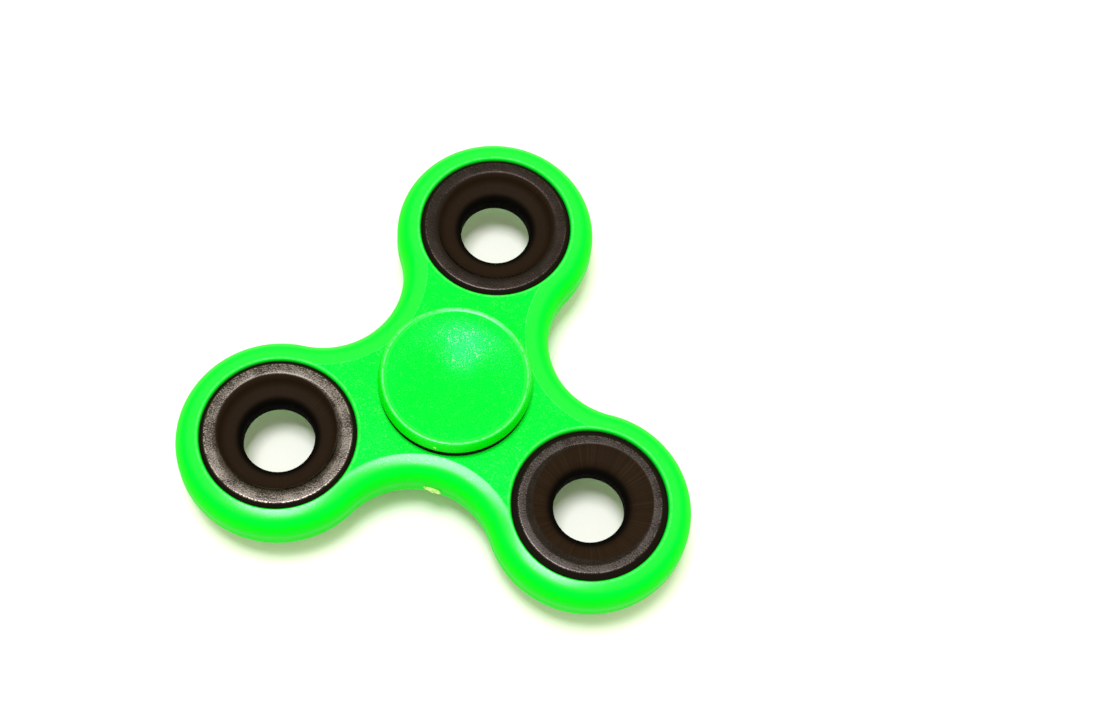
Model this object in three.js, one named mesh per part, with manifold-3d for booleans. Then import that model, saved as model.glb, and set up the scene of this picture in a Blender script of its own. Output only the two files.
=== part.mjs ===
// A three-lobe fidget spinner in millimetres, +Z up.
// The origin is the middle of the bottom cap's flat face, on the spin axis, and lobe 1 points along +Y.
// Two plastic caps grip the inner race of a ball bearing. The lobed body turns round them on the outer race,
// and carries three turned steel rings as flywheel weights.
import * as THREE from "three";
import { mergeVertices } from "three/addons/utils/BufferGeometryUtils.js";
import Module from "manifold-3d";

const wasm = await Module();
wasm.setup();

// Plan of the body
const RING_CIRCLE = 25.8; // radius of the circle that the three weight rings sit on
const LOBE_RADIUS = 14.5;
const WAIST_RADIUS = 11.5; // hollow arc between two lobes
const EDGE_ROUND = 2.9; // rounding along the top and bottom edges of the body
const LOBE_STEP = 10; // degrees between the outline's points round a lobe
const WAIST_STEPS = 12;
const LOBE_ANGLES = [90, 210, 330];

// Heights
const CAP_THICKNESS = 3.05;
const CAP_BOSS = 0.8; // from the bearing's face to the underside of a cap's disc
const BEARING_WIDTH = 7;
const BEARING_LIP = 0.3; // thickness of the two lips that the bearing is snapped between
const RING_THICKNESS = 6.2;
const BEARING_BOTTOM = CAP_THICKNESS + CAP_BOSS;
const BEARING_MIDDLE = BEARING_BOTTOM + BEARING_WIDTH / 2;
const BEARING_TOP = BEARING_BOTTOM + BEARING_WIDTH;
const BODY_BOTTOM = BEARING_BOTTOM - BEARING_LIP;
const BODY_TOP = BEARING_TOP + BEARING_LIP;

// Bores and the clearances that stand for light press fits
const SEAT_RADIUS = 11; // outside radius of the bearing and of each weight ring
const PRESS_GAP = 0.05;
const FACE_GAP = 0.02;
const BORE_CHAMFER = 0.25;
const BEARING_LIP_RADIUS = 10.75;
const RING_LEDGE_RADIUS = 9.6;

// Ball bearing, the common 8 x 22 x 7 size
const BEARING_BORE = 4;
const PITCH_RADIUS = 7.5;
const BALL_COUNT = 7;
const BALL_RADIUS = 1.96;
const GROOVE_RADIUS = 2; // from a ball's centre to the flats of the race grooves
const GROOVE_FLAT = THREE.MathUtils.degToRad(30); // angle that one flat of a groove spans
const RACE_CHAMFER = 0.3;
const SHIELD_SEAT_RADIUS = 9.95;
const SHIELD_SEAT = 2.75; // height of the shield seats above and below the bearing's middle
const SHIELD_THICKNESS = 0.3;
const SHIELD_BORE = 6.3;
const CAGE_INNER = 6.55;
const CAGE_OUTER = 8.45;
const CAGE_SHEET = 0.3;
const POCKET_RADIUS = 2.1;
const RIVET_RADIUS = 0.28;
const RIVET_HEAD = 0.55;

// Finger caps
const CAP_RADIUS = 10.95;
const CAP_TOP = CAP_BOSS + CAP_THICKNESS;
const CAP_RIM_RADIUS = 10.1;
const DISH_RADIUS = 9.7; // the top cap is hollowed for a fingertip inside its rim
const DISH_DEPTH = 1.2;
const DISH_FLAT_RADIUS = 2;
const DISH_STEPS = 6;
const BOSS_RADIUS = 5.6;
const STUB_RADIUS = BEARING_BORE - PRESS_GAP;
const STUB_LENGTH = 3.4;
const PIN_RADIUS = 2;
const PIN_LENGTH = 4.1;

const RING_FACETS = 40;
const BALL_FACETS = 14;
const POCKET_FACETS = 12;
const RIVET_FACETS = 8;

// ---- Shared helpers ----

// A closed profile of [radius, height] points, anticlockwise, turned round the Z axis.
function turned(profile, facets = RING_FACETS) {
  const points = profile.map(([r, z]) => new THREE.Vector2(r, z));
  if (profile[0][0] > 0) points.push(points[0].clone());
  return new THREE.LatheGeometry(points, facets).rotateX(Math.PI / 2);
}

// The same profile seen from below: its heights are mirrored and its order reversed.
function flipped(profile) {
  return profile.map(([r, z]) => [r, -z]).reverse();
}

function toSolid(geometry) {
  const bare = new THREE.BufferGeometry();
  bare.setAttribute("position", geometry.getAttribute("position"));
  bare.setIndex(geometry.index);
  const merged = mergeVertices(bare, 1e-3);
  return new wasm.Manifold(
    new wasm.Mesh({
      numProp: 3,
      vertProperties: merged.attributes.position.array,
      triVerts: new Uint32Array(merged.index.array),
    }),
  );
}

function toGeometry(solid) {
  const { vertProperties, triVerts } = solid.getMesh();
  const geometry = new THREE.BufferGeometry();
  geometry.setAttribute("position", new THREE.BufferAttribute(vertProperties, 3));
  geometry.setIndex(new THREE.BufferAttribute(triVerts, 1));
  return geometry;
}

// A point at a radius and an angle in degrees, on the plane z = 0.
function polar(radius, degrees) {
  const angle = THREE.MathUtils.degToRad(degrees);
  return new THREE.Vector2(radius * Math.cos(angle), radius * Math.sin(angle));
}

// ---- Body ----

// The outline runs round each lobe and back round the hollow that follows it, tangent where they meet.
function bodyOutline() {
  const centres = LOBE_RADIUS + WAIST_RADIUS;
  const waistCircle = RING_CIRCLE / 2 + Math.sqrt(centres ** 2 - 0.75 * RING_CIRCLE ** 2);
  const lobe = polar(RING_CIRCLE, 0);
  const waist = polar(waistCircle, 60);
  const contact = THREE.MathUtils.radToDeg(Math.atan2(waist.y - lobe.y, waist.x - lobe.x));
  const points = [];
  for (const angle of LOBE_ANGLES) {
    const centre = polar(RING_CIRCLE, angle);
    const lastStep = Math.floor(contact / LOBE_STEP);
    const turns = [-contact, contact];
    for (let step = -lastStep; step <= lastStep; step += 1) {
      turns.splice(-1, 0, step * LOBE_STEP);
    }
    turns.forEach((turn) => points.push(centre.clone().add(polar(LOBE_RADIUS, angle + turn))));
    const hollow = polar(waistCircle, angle + 60);
    const start = angle + contact + 180;
    const sweep = 2 * (contact - 60);
    for (let step = 1; step < WAIST_STEPS; step += 1) {
      points.push(hollow.clone().add(polar(WAIST_RADIUS, start - (sweep * step) / WAIST_STEPS)));
    }
  }
  return points;
}

// The bearing's bore is narrowed by a lip at each face of the body.
function bearingCutter() {
  const radius = SEAT_RADIUS + PRESS_GAP;
  const past = 1;
  return turned([
    [0, BODY_BOTTOM - past],
    [BEARING_LIP_RADIUS, BODY_BOTTOM - past],
    [BEARING_LIP_RADIUS, BEARING_BOTTOM - FACE_GAP],
    [radius, BEARING_BOTTOM - FACE_GAP],
    [radius, BEARING_TOP + FACE_GAP],
    [BEARING_LIP_RADIUS, BEARING_TOP + FACE_GAP],
    [BEARING_LIP_RADIUS, BODY_TOP + past],
    [0, BODY_TOP + past],
  ]);
}

// A ring's bore is open at the top, with a chamfered mouth, and has a ledge under the ring.
function ringCutter() {
  const radius = SEAT_RADIUS + PRESS_GAP;
  const ledgeTop = BODY_TOP - RING_THICKNESS - FACE_GAP;
  const past = 1;
  return turned([
    [0, BODY_BOTTOM - past],
    [RING_LEDGE_RADIUS, BODY_BOTTOM - past],
    [RING_LEDGE_RADIUS, ledgeTop],
    [radius, ledgeTop],
    [radius, BODY_TOP - BORE_CHAMFER],
    [radius + BORE_CHAMFER, BODY_TOP],
    [radius + BORE_CHAMFER, BODY_TOP + past],
    [0, BODY_TOP + past],
  ]);
}

function bodyGeometry() {
  const plate = new THREE.ExtrudeGeometry(new THREE.Shape(bodyOutline()), {
    depth: BODY_TOP - BODY_BOTTOM - 2 * EDGE_ROUND,
    bevelThickness: EDGE_ROUND,
    bevelSize: EDGE_ROUND,
    bevelOffset: -EDGE_ROUND,
    bevelSegments: 3,
  }).translate(0, 0, BODY_BOTTOM + EDGE_ROUND);
  let solid = toSolid(plate).subtract(toSolid(bearingCutter()));
  for (const angle of LOBE_ANGLES) {
    const { x, y } = polar(RING_CIRCLE, angle);
    solid = solid.subtract(toSolid(ringCutter().translate(x, y, 0)));
  }
  return toGeometry(solid);
}

// ---- Weight rings ----

// Heights are from the ring's middle. The upper face has a stepped recess, and the lower a smooth dish.
function ringProfile() {
  const face = RING_THICKNESS / 2;
  return [
    [10, -face],
    [SEAT_RADIUS, -face + 0.6],
    [SEAT_RADIUS, face - 0.5],
    [10.2, face],
    [8.95, face],
    [8.55, face - 0.2],
    [8.15, face - 0.75],
    [7.6, face - 0.95],
    [7.2, face - 0.8],
    [5.6, face - 1.3],
    [5.05, face - 2.2],
    [5.05, -face + 1.85],
    [6.6, -face + 0.95],
    [8.3, -face + 0.35],
    [9, -face],
  ];
}

// ---- Ball bearing: heights are from its middle ----

// The three flats of a race groove. side is 1 on the outer race and -1 on the inner, from bottom to top.
function grooveProfile(side) {
  const corner = GROOVE_RADIUS / Math.cos(GROOVE_FLAT / 2);
  return [-1.5, -0.5, 0.5, 1.5].map((turn) => [
    PITCH_RADIUS + side * corner * Math.cos(turn * GROOVE_FLAT),
    corner * Math.sin(turn * GROOVE_FLAT),
  ]);
}

function outerRaceProfile() {
  const face = BEARING_WIDTH / 2;
  const groove = grooveProfile(1).reverse();
  const land = groove[0][0];
  return [
    [SEAT_RADIUS - RACE_CHAMFER, -face],
    [SEAT_RADIUS, -face + RACE_CHAMFER],
    [SEAT_RADIUS, face - RACE_CHAMFER],
    [SEAT_RADIUS - RACE_CHAMFER, face],
    [SHIELD_SEAT_RADIUS, face],
    [SHIELD_SEAT_RADIUS, SHIELD_SEAT],
    [land, SHIELD_SEAT],
    ...groove,
    [land, -SHIELD_SEAT],
    [SHIELD_SEAT_RADIUS, -SHIELD_SEAT],
    [SHIELD_SEAT_RADIUS, -face],
  ];
}

function innerRaceProfile() {
  const face = BEARING_WIDTH / 2;
  const groove = grooveProfile(-1);
  const land = groove[0][0];
  return [
    [BEARING_BORE + RACE_CHAMFER, -face],
    [land - RACE_CHAMFER, -face],
    [land, -face + RACE_CHAMFER],
    ...groove,
    [land, face - RACE_CHAMFER],
    [land - RACE_CHAMFER, face],
    [BEARING_BORE + RACE_CHAMFER, face],
    [BEARING_BORE, face - RACE_CHAMFER],
    [BEARING_BORE, -face + RACE_CHAMFER],
  ];
}

function shieldProfile() {
  const low = SHIELD_SEAT + FACE_GAP;
  const rim = SHIELD_SEAT_RADIUS - PRESS_GAP;
  const step = 0.15; // the sheet dips towards the balls inside its rolled rim
  return [
    [SHIELD_BORE, low - step],
    [8.7, low - step],
    [8.9, low],
    [rim, low],
    [rim, low + SHIELD_THICKNESS],
    [8.9, low + SHIELD_THICKNESS],
    [8.7, low + SHIELD_THICKNESS - step],
    [SHIELD_BORE, low + SHIELD_THICKNESS - step],
  ];
}

function ballGeometry() {
  return new THREE.SphereGeometry(BALL_RADIUS, BALL_FACETS, BALL_FACETS / 2).rotateX(Math.PI / 2);
}

// A rod that points along +X from the axis, for the cage's pockets.
function radialRod(radius) {
  return new THREE.CylinderGeometry(radius, radius, CAGE_OUTER, POCKET_FACETS)
    .rotateZ(Math.PI / 2)
    .translate(CAGE_OUTER / 2 + 1, 0, 0);
}

// One pressed half of the cage: a flat ring that rises over each ball, with a rivet hole between balls.
function cageHalfSolid() {
  const crown = POCKET_RADIUS + CAGE_SHEET;
  const band = toSolid(
    turned([
      [CAGE_INNER, FACE_GAP],
      [CAGE_OUTER, FACE_GAP],
      [CAGE_OUTER, crown],
      [CAGE_INNER, crown],
    ]),
  );
  let half = toSolid(
    turned([
      [CAGE_INNER, FACE_GAP],
      [CAGE_OUTER, FACE_GAP],
      [CAGE_OUTER, CAGE_SHEET],
      [CAGE_INNER, CAGE_SHEET],
    ]),
  );
  const pitch = 360 / BALL_COUNT;
  const holeRadius = RIVET_RADIUS + PRESS_GAP;
  const hole = toSolid(turned([[0, -1], [holeRadius, -1], [holeRadius, 1], [0, 1]], RIVET_FACETS));
  const arch = toSolid(radialRod(crown)).intersect(band);
  const pocket = toSolid(radialRod(POCKET_RADIUS));
  for (let ball = 0; ball < BALL_COUNT; ball += 1) {
    half = half.add(arch.rotate([0, 0, ball * pitch]));
  }
  for (let ball = 0; ball < BALL_COUNT; ball += 1) {
    half = half.subtract(pocket.rotate([0, 0, ball * pitch]));
    half = half.subtract(hole.translate([PITCH_RADIUS, 0, 0]).rotate([0, 0, (ball + 0.5) * pitch]));
  }
  return half;
}

function rivetProfile() {
  const under = CAGE_SHEET + FACE_GAP;
  const top = under + 0.22;
  return [
    [0, -top],
    [RIVET_HEAD - 0.15, -top],
    [RIVET_HEAD, -under],
    [RIVET_RADIUS, -under],
    [RIVET_RADIUS, under],
    [RIVET_HEAD, under],
    [RIVET_HEAD - 0.15, top],
    [0, top],
  ];
}

// ---- Finger caps: heights are from the bearing's face, outwards ----

function capDisc() {
  const under = CAP_BOSS;
  const top = CAP_TOP;
  return [
    [BOSS_RADIUS, FACE_GAP],
    [BOSS_RADIUS, under],
    [CAP_RADIUS - 0.55, under],
    [CAP_RADIUS, under + 1.25],
    [CAP_RADIUS - 0.2, under + 2.2],
    [CAP_RADIUS - 0.5, top - 0.25],
    [CAP_RIM_RADIUS, top],
  ];
}

// A shallow hollow with a flat in its middle. Its side is an S-curve, steepest halfway out.
function fingerDish() {
  const points = [];
  for (let step = 0; step <= DISH_STEPS; step += 1) {
    const way = step / DISH_STEPS;
    const radius = DISH_RADIUS + (DISH_FLAT_RADIUS - DISH_RADIUS) * way;
    const share = (1 - Math.cos(Math.PI * way)) / 2;
    points.push([radius, CAP_TOP - DISH_DEPTH * share]);
  }
  return [...points, [0, CAP_TOP - DISH_DEPTH]];
}

// The top cap's stub is hollow and takes the bottom cap's pin.
function topCapProfile() {
  const socket = PIN_RADIUS + PRESS_GAP;
  const pinTop = STUB_LENGTH + PIN_LENGTH - BEARING_WIDTH;
  const socketEnd = pinTop + 0.2;
  return [
    [0, socketEnd],
    [socket, socketEnd],
    [socket, -STUB_LENGTH],
    [STUB_RADIUS - 0.3, -STUB_LENGTH],
    [STUB_RADIUS, -STUB_LENGTH + 0.3],
    [STUB_RADIUS, FACE_GAP],
    ...capDisc(),
    ...fingerDish(),
  ];
}

// The bottom cap is flat, so that the spinner stands still on a table.
function bottomCapProfile() {
  return [
    [0, -STUB_LENGTH - PIN_LENGTH],
    [PIN_RADIUS - 0.3, -STUB_LENGTH - PIN_LENGTH],
    [PIN_RADIUS, -STUB_LENGTH - PIN_LENGTH + 0.3],
    [PIN_RADIUS, -STUB_LENGTH],
    [STUB_RADIUS - 0.3, -STUB_LENGTH],
    [STUB_RADIUS, -STUB_LENGTH + 0.3],
    [STUB_RADIUS, FACE_GAP],
    ...capDisc(),
    [0, CAP_TOP],
  ];
}

// ---- Materials ----

const FINISHES = {
  green: { color: 0x12e83c, roughness: 0.45, metalness: 0 },
  gunmetal: { color: 0x6b5f60, roughness: 0.35, metalness: 1 },
  steel: { color: 0xb9bbbd, roughness: 0.25, metalness: 1 },
  ball: { color: 0xd8dadc, roughness: 0.08, metalness: 1 },
  cage: { color: 0x9c9890, roughness: 0.4, metalness: 1 },
  shield: { color: 0x8f9194, roughness: 0.35, metalness: 1 },
};

// ---- Assembly ----

const spinner = new THREE.Group();

function place(name, geometry, finish, position = [0, 0, 0], parent = spinner) {
  const mesh = new THREE.Mesh(geometry, new THREE.MeshStandardMaterial(FINISHES[finish]));
  mesh.name = name;
  mesh.position.set(...position);
  parent.add(mesh);
  return mesh;
}

place("body_frame", bodyGeometry(), "green");

// The ring in the third lobe was pressed in the other way up, so its dished face shows on top.
const ringMiddle = BODY_TOP - RING_THICKNESS / 2;
LOBE_ANGLES.forEach((angle, index) => {
  const { x, y } = polar(RING_CIRCLE, angle);
  const profile = index === 2 ? flipped(ringProfile()) : ringProfile();
  place(`weight_ring_${index + 1}`, turned(profile), "gunmetal", [x, y, ringMiddle]);
});

const bearing = new THREE.Group();
bearing.position.z = BEARING_MIDDLE;
spinner.add(bearing);
const atMiddle = [0, 0, 0];
place("bearing_outer_race", turned(outerRaceProfile()), "steel", atMiddle, bearing);
place("bearing_inner_race", turned(innerRaceProfile()), "steel", atMiddle, bearing);
place("shield_upper", turned(shieldProfile()), "shield", atMiddle, bearing);
place("shield_lower", turned(flipped(shieldProfile())), "shield", atMiddle, bearing);
const cageHalf = cageHalfSolid();
place("cage_upper", toGeometry(cageHalf), "cage", atMiddle, bearing);
place("cage_lower", toGeometry(cageHalf.mirror([0, 0, 1])), "cage", atMiddle, bearing);
for (let ball = 0; ball < BALL_COUNT; ball += 1) {
  const pitch = 360 / BALL_COUNT;
  const seat = polar(PITCH_RADIUS, ball * pitch);
  place(`bearing_ball_${ball + 1}`, ballGeometry(), "ball", [seat.x, seat.y, 0], bearing);
  const joint = polar(PITCH_RADIUS, (ball + 0.5) * pitch);
  const rivet = turned(rivetProfile(), RIVET_FACETS);
  place(`cage_rivet_${ball + 1}`, rivet, "cage", [joint.x, joint.y, 0], bearing);
}

place("top_cap", turned(topCapProfile()), "green", [0, 0, BEARING_TOP]);
place("bottom_cap", turned(flipped(bottomCapProfile())), "green", [0, 0, BEARING_BOTTOM]);

export default spinner;
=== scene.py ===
import math

import bpy
from mathutils import Matrix, Vector


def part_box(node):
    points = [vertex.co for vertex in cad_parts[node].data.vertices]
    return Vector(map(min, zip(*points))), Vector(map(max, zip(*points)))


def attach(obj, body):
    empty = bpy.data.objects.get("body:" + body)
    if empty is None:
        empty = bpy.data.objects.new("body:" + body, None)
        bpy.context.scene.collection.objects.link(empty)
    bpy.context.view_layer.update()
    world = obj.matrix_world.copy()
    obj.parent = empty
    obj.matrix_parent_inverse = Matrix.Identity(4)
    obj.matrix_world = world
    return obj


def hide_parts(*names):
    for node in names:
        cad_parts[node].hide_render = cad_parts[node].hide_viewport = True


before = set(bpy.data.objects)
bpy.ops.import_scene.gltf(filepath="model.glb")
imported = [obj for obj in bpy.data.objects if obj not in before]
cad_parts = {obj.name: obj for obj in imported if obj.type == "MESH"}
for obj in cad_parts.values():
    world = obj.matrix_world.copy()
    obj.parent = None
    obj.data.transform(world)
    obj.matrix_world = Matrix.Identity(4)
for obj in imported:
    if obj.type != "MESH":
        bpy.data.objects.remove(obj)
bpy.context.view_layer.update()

MM = 0.001
FULL_TURN = 2 * math.pi

# ---- Sizes taken from the frame, in metres ----

body_low, body_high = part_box("body_frame")
BODY_BOTTOM, BODY_TOP = body_low.z, body_high.z
BODY_MIDDLE = (BODY_BOTTOM + BODY_TOP) / 2


def middle(node):
    """The middle of a CAD node's box."""
    low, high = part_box(node)
    return (low + high) / 2


RING_PLACES = [middle(f"weight_ring_{k}") for k in (1, 2, 3)]
RING_CIRCLE = RING_PLACES[0].y
SEAT = (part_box("weight_ring_1")[1].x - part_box("weight_ring_1")[0].x) / 2
RING_HALF = (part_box("weight_ring_1")[1].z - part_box("weight_ring_1")[0].z) / 2
LOBE = body_high.y - RING_CIRCLE
BEARING = middle("bearing_outer_race")
BEARING_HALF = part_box("bearing_outer_race")[1].z - BEARING.z
BEARING_TOP = BEARING.z + BEARING_HALF
BEARING_BOTTOM = BEARING.z - BEARING_HALF
CAP_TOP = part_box("top_cap")[1].z
BALL_PLACES = [middle(f"bearing_ball_{k}") for k in range(1, 8)]
PITCH = BALL_PLACES[0].x
BALL_COUNT = len(BALL_PLACES)

# ---- Sizes of the finish, in metres ----

WAIST = 11.5 * MM  # radius of the hollow between two lobes
EDGE_ROUND = 2.6 * MM  # the edge turns over with this radius up to EDGE_LEAN
EDGE_LEAN = 14  # degrees
EDGE_CROWN = 10.8 * MM  # then flattens out with this radius
FACE_LEAN = 6  # degrees, where the rounding meets the flat face
PARTING_RIDGE = 0.03 * MM
FACE_STEP = 0.03 * MM  # the flat faces stand this much proud of the rounding
FACE_STEP_WIDTH = 0.12 * MM
BORE_LIP = 0.5 * MM
CAP_DISC = 3.05 * MM
CAP_STUB = 3.95 * MM
CAP_STUB_LENGTH = 3.4 * MM
BEARING_LIP = 10.75 * MM
RING_LEDGE = 9.6 * MM
BORE_SLACK = 0.02 * MM  # between each bore and the ring pressed into it
STEPPED_RIM = 10.25 * MM  # the flat rim of a ring with its stepped face up ends here
DISHED_RIM = 9.98 * MM  # and here with its dished face up
BALL = 1.98 * MM
RACE_GROOVE = 2.0 * MM
RACE_GAP_SHADE_RADIUS = 9.9 * MM  # the outer race is painted black from here outwards: painted shade of the gap under the cap
WEIGHT_TURNS = 144
FINE_TURNS = 96

# ---- Colours ----

# The faces' touch of blue stands partly for their sheen; the side walls go without it: painted sheen and
# shade
NEON = (0.0, 0.74, 0.034, 1)
NEON_DEEP = (0.0, 0.68, 0.02, 1)
NEON_WALL_SHADE = (0.0, 0.74, 0.001, 1)
# Pale lines along edges, bore mouths and the cap's rim: painted highlights, with pale flash in part on
# the cap's rim
NEON_PALE = (0.12, 0.95, 0.2, 1)
TORN_GREEN = (0.35, 0.9, 0.1, 1)
TORN_PALE = (0.95, 1.0, 0.6, 1)
BLACKENED = (0.02, 0.016, 0.015, 1)
BAND_BLACK = (0.007, 0.0045, 0.0035, 1)
HOLLOW_BROWN = (0.034, 0.018, 0.009, 1)
HOLLOW_DARK = (0.012, 0.0063, 0.003, 1)
# Painted shade: near black for the rounding into each ring's hole, whose wall lies in shadow
HOLE_SHADE_BLACK = (0.0012, 0.0009, 0.0007, 1)
# The rims of rings 1 to 3 where they are rubbed, from dark plating to bare steel; ring 2's lighter tone
# and the darker tones of rings 1 and 3 also stand for the lamp's reflection on each: painted sheen
RING_WEAR_AND_SHEEN = ((0.024, 0.018, 0.017, 1), (0.11, 0.097, 0.088, 1), (0.036, 0.031, 0.03, 1))
# Each ring's worn rim is drawn a little off centre, wider towards where the light falls: painted light
# and shade
RIM_LIGHT_SHIFTS = ((0.1 * MM, 0.4 * MM, 0), (-0.3 * MM, 0.4 * MM, 0), (0.4 * MM, 0.5 * MM, 0))
# Painted shade: black on the outer race's face, where it lies in the dark gap under the cap
RACE_GAP_SHADE_BLACK = (0.002, 0.002, 0.0015, 1)
# Pairs of a darker and a lighter tone
RACE_TONES = (0.5, 0.5, 0.51, 1), (0.66, 0.66, 0.67, 1)
BALL_TONES = (0.76, 0.76, 0.78, 1), (0.84, 0.84, 0.85, 1)
CAGE_TONES = (0.44, 0.42, 0.39, 1), (0.58, 0.56, 0.53, 1)
SHIELD_TONES = (0.42, 0.43, 0.44, 1), (0.55, 0.56, 0.57, 1)
FLOOR_TONES = (0.88, 0.88, 0.88, 1), (0.92, 0.92, 0.92, 1)
WARM_SKY = (1.0, 0.94, 0.68, 1)
WHITE = (1, 1, 1, 1)


# ---- Working by hand in edit mode ----


def deselect_all():
    if bpy.context.mode != "OBJECT":
        bpy.ops.object.mode_set(mode="OBJECT")
    bpy.ops.object.select_all(action="DESELECT")


def take_up(piece):
    deselect_all()
    piece.select_set(True)
    bpy.context.view_layer.objects.active = piece


def edit(piece, kind="VERT"):
    take_up(piece)
    bpy.ops.object.mode_set(mode="EDIT")
    bpy.ops.mesh.select_mode(type=kind)


def pick(piece, kind, test):
    """Selects the vertices, edges or faces of a piece that a test picks, and leaves it in edit mode."""
    edit(piece, kind)
    bpy.ops.mesh.select_all(action="DESELECT")
    bpy.ops.object.mode_set(mode="OBJECT")
    mesh = piece.data
    items = {"VERT": mesh.vertices, "EDGE": mesh.edges, "FACE": mesh.polygons}[kind]
    for item in items:
        item.select = test(item)
    bpy.ops.object.mode_set(mode="EDIT")


def first_point(name, place):
    """A mesh of one vertex, from a small plane merged to its middle."""
    deselect_all()
    bpy.ops.mesh.primitive_plane_add(size=MM, location=place)
    piece = bpy.context.object
    piece.name = piece.data.name = name
    bpy.ops.object.mode_set(mode="EDIT")
    bpy.ops.mesh.select_mode(type="VERT")
    bpy.ops.mesh.merge(type="CENTER")
    return piece


def swing(angle, steps, centre=(0, 0, 0), axis=(0, 0, 1), copies=False):
    """Spins the selection anticlockwise about an axis."""
    bpy.ops.mesh.spin(steps=steps, angle=-angle, center=centre, axis=axis, dupli=copies)


def weld_and_face_out():
    bpy.ops.mesh.select_all(action="SELECT")
    bpy.ops.mesh.remove_doubles(threshold=0.001 * MM)
    bpy.ops.mesh.normals_make_consistent(inside=False)


def settle(piece, smooth_angle=30):
    """Puts the piece's place into its mesh and smooths all but its sharp edges."""
    take_up(piece)
    bpy.ops.object.transform_apply(location=True, rotation=True, scale=True)
    bpy.ops.object.shade_smooth_by_angle(angle=math.radians(smooth_angle))
    return piece


def apply_modifier(piece, kind, **settings):
    take_up(piece)
    modifier = piece.modifiers.new(kind.lower(), kind)
    for key, value in settings.items():
        setattr(modifier, key, value)
    bpy.ops.object.modifier_apply(modifier=modifier.name)


def cut_away(piece, cutter):
    apply_modifier(piece, "BOOLEAN", operation="DIFFERENCE", object=cutter, solver="EXACT")
    bpy.data.objects.remove(cutter)


def repeated(piece, places, name):
    """The piece made at the first place, with a copy at each other place that has its own mesh."""
    row = [piece]
    for number, place in enumerate(places[1:], 2):
        twin = piece.copy()
        twin.data = piece.data.copy()
        twin.name = twin.data.name = name.format(number)
        bpy.context.collection.objects.link(twin)
        twin.location = place - places[0]
        take_up(twin)
        bpy.ops.object.transform_apply(location=True, rotation=False, scale=False)
        row.append(twin)
    return row


def arc(centre, radius, start, end, steps):
    """Profile points round an arc, from one angle in degrees to another."""
    turns = [math.radians(start + (end - start) * k / steps) for k in range(steps + 1)]
    return [(centre[0] + radius * math.cos(t), centre[1] + radius * math.sin(t)) for t in turns]


def rounded(corners, steps):
    """The points of a profile whose corners (radius, height, rounding) are each cut by an arc."""
    points = []
    for i, (r, z, *rounding) in enumerate(corners):
        here = Vector((r, z))
        if not rounding:
            points.append(here)
            continue
        back = (Vector(corners[i - 1][:2]) - here).normalized()
        on = (Vector(corners[(i + 1) % len(corners)][:2]) - here).normalized()
        half = back.angle(on) / 2
        centre = here + (back + on).normalized() * rounding[0] / math.sin(half)
        start = here + back * rounding[0] / math.tan(half) - centre
        sweep = math.pi - 2 * half
        if back.x * on.y - back.y * on.x > 0:
            sweep = -sweep
        for k in range(steps + 1):
            points.append(centre + Matrix.Rotation(sweep * k / steps, 2) @ start)
    return points


def turned(name, corners, centre=(0, 0, 0), turns=FINE_TURNS, steps=4):
    """A turned piece: its profile is drawn point by point and spun round a vertical axis.
    Corners are in millimetres, from the centre. A profile off the axis is closed into a ring."""
    outline = rounded(corners, steps)
    x, y, z = centre
    piece = first_point(name, (x + outline[0].x * MM, y, z + outline[0].y * MM))
    for here, there in zip(outline, outline[1:]):
        step = ((there.x - here.x) * MM, 0, (there.y - here.y) * MM)
        bpy.ops.mesh.extrude_vertices_move(TRANSFORM_OT_translate={"value": step})
    bpy.ops.mesh.select_all(action="SELECT")
    if outline[0].x > 0:
        bpy.ops.mesh.edge_face_add()
        bpy.ops.mesh.delete(type="ONLY_FACE")
        bpy.ops.mesh.select_all(action="SELECT")
    swing(FULL_TURN, turns, centre)
    weld_and_face_out()
    return settle(piece)


def upside_down(corners):
    return [(r, -z, *rounding) for r, z, *rounding in reversed(corners)]


# ---- Body ----


def edge_steps():
    """The rounding of the body's edge as steps inwards and up, from the side wall to the flat face."""

    def along(radius, start, end, count):
        leans = [math.radians(start + (end - start) * k / count) for k in range(count + 1)]
        return [
            (radius * (math.sin(a) - math.sin(b)), radius * (math.cos(b) - math.cos(a)))
            for a, b in zip(leans, leans[1:])
        ]

    rounding = along(EDGE_ROUND, 90, EDGE_LEAN, 14)
    crown = along(EDGE_CROWN, EDGE_LEAN, FACE_LEAN, 5)
    return [*rounding, *crown, (FACE_STEP_WIDTH, FACE_STEP)]


def edge_height():
    return sum(up for _, up in edge_steps())


def draw_outline():
    """The outline runs round each lobe, then back round the hollow that follows it."""
    centres = LOBE - PARTING_RIDGE + WAIST
    waist_circle = RING_CIRCLE / 2 + math.sqrt(centres**2 - 0.75 * RING_CIRCLE**2)
    contact = math.atan2(
        waist_circle * math.sin(math.pi / 3),
        waist_circle * math.cos(math.pi / 3) - RING_CIRCLE,
    )
    low = BODY_BOTTOM + edge_height()
    lobe_angle = math.pi / 2
    start = Matrix.Rotation(lobe_angle - contact, 3, "Z") @ Vector((LOBE - PARTING_RIDGE, 0, low))
    piece = first_point("body_moulding", (start.x, start.y + RING_CIRCLE, low))
    for _ in range(3):
        lobe = Matrix.Rotation(lobe_angle, 3, "Z") @ Vector((RING_CIRCLE, 0, low))
        swing(2 * contact, 96, lobe)
        hollow = Matrix.Rotation(lobe_angle + math.pi / 3, 3, "Z") @ Vector((waist_circle, 0, low))
        swing(2 * math.pi / 3 - 2 * contact, 42, hollow)
        lobe_angle += 2 * math.pi / 3
    bpy.ops.mesh.select_all(action="SELECT")
    bpy.ops.mesh.remove_doubles(threshold=0.001 * MM)
    bpy.ops.mesh.edge_face_add()
    return piece


def is_flat(face):
    return abs(face.normal.z) > 0.999


def rim_edges(piece, test):
    """Keys of the edges between a flat face and one that isn't."""
    seen = {}
    for face in piece.data.polygons:
        for key in face.edge_keys:
            seen.setdefault(key, []).append(test(face))
    return {key for key, flats in seen.items() if any(flats) and not all(flats)}


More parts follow.
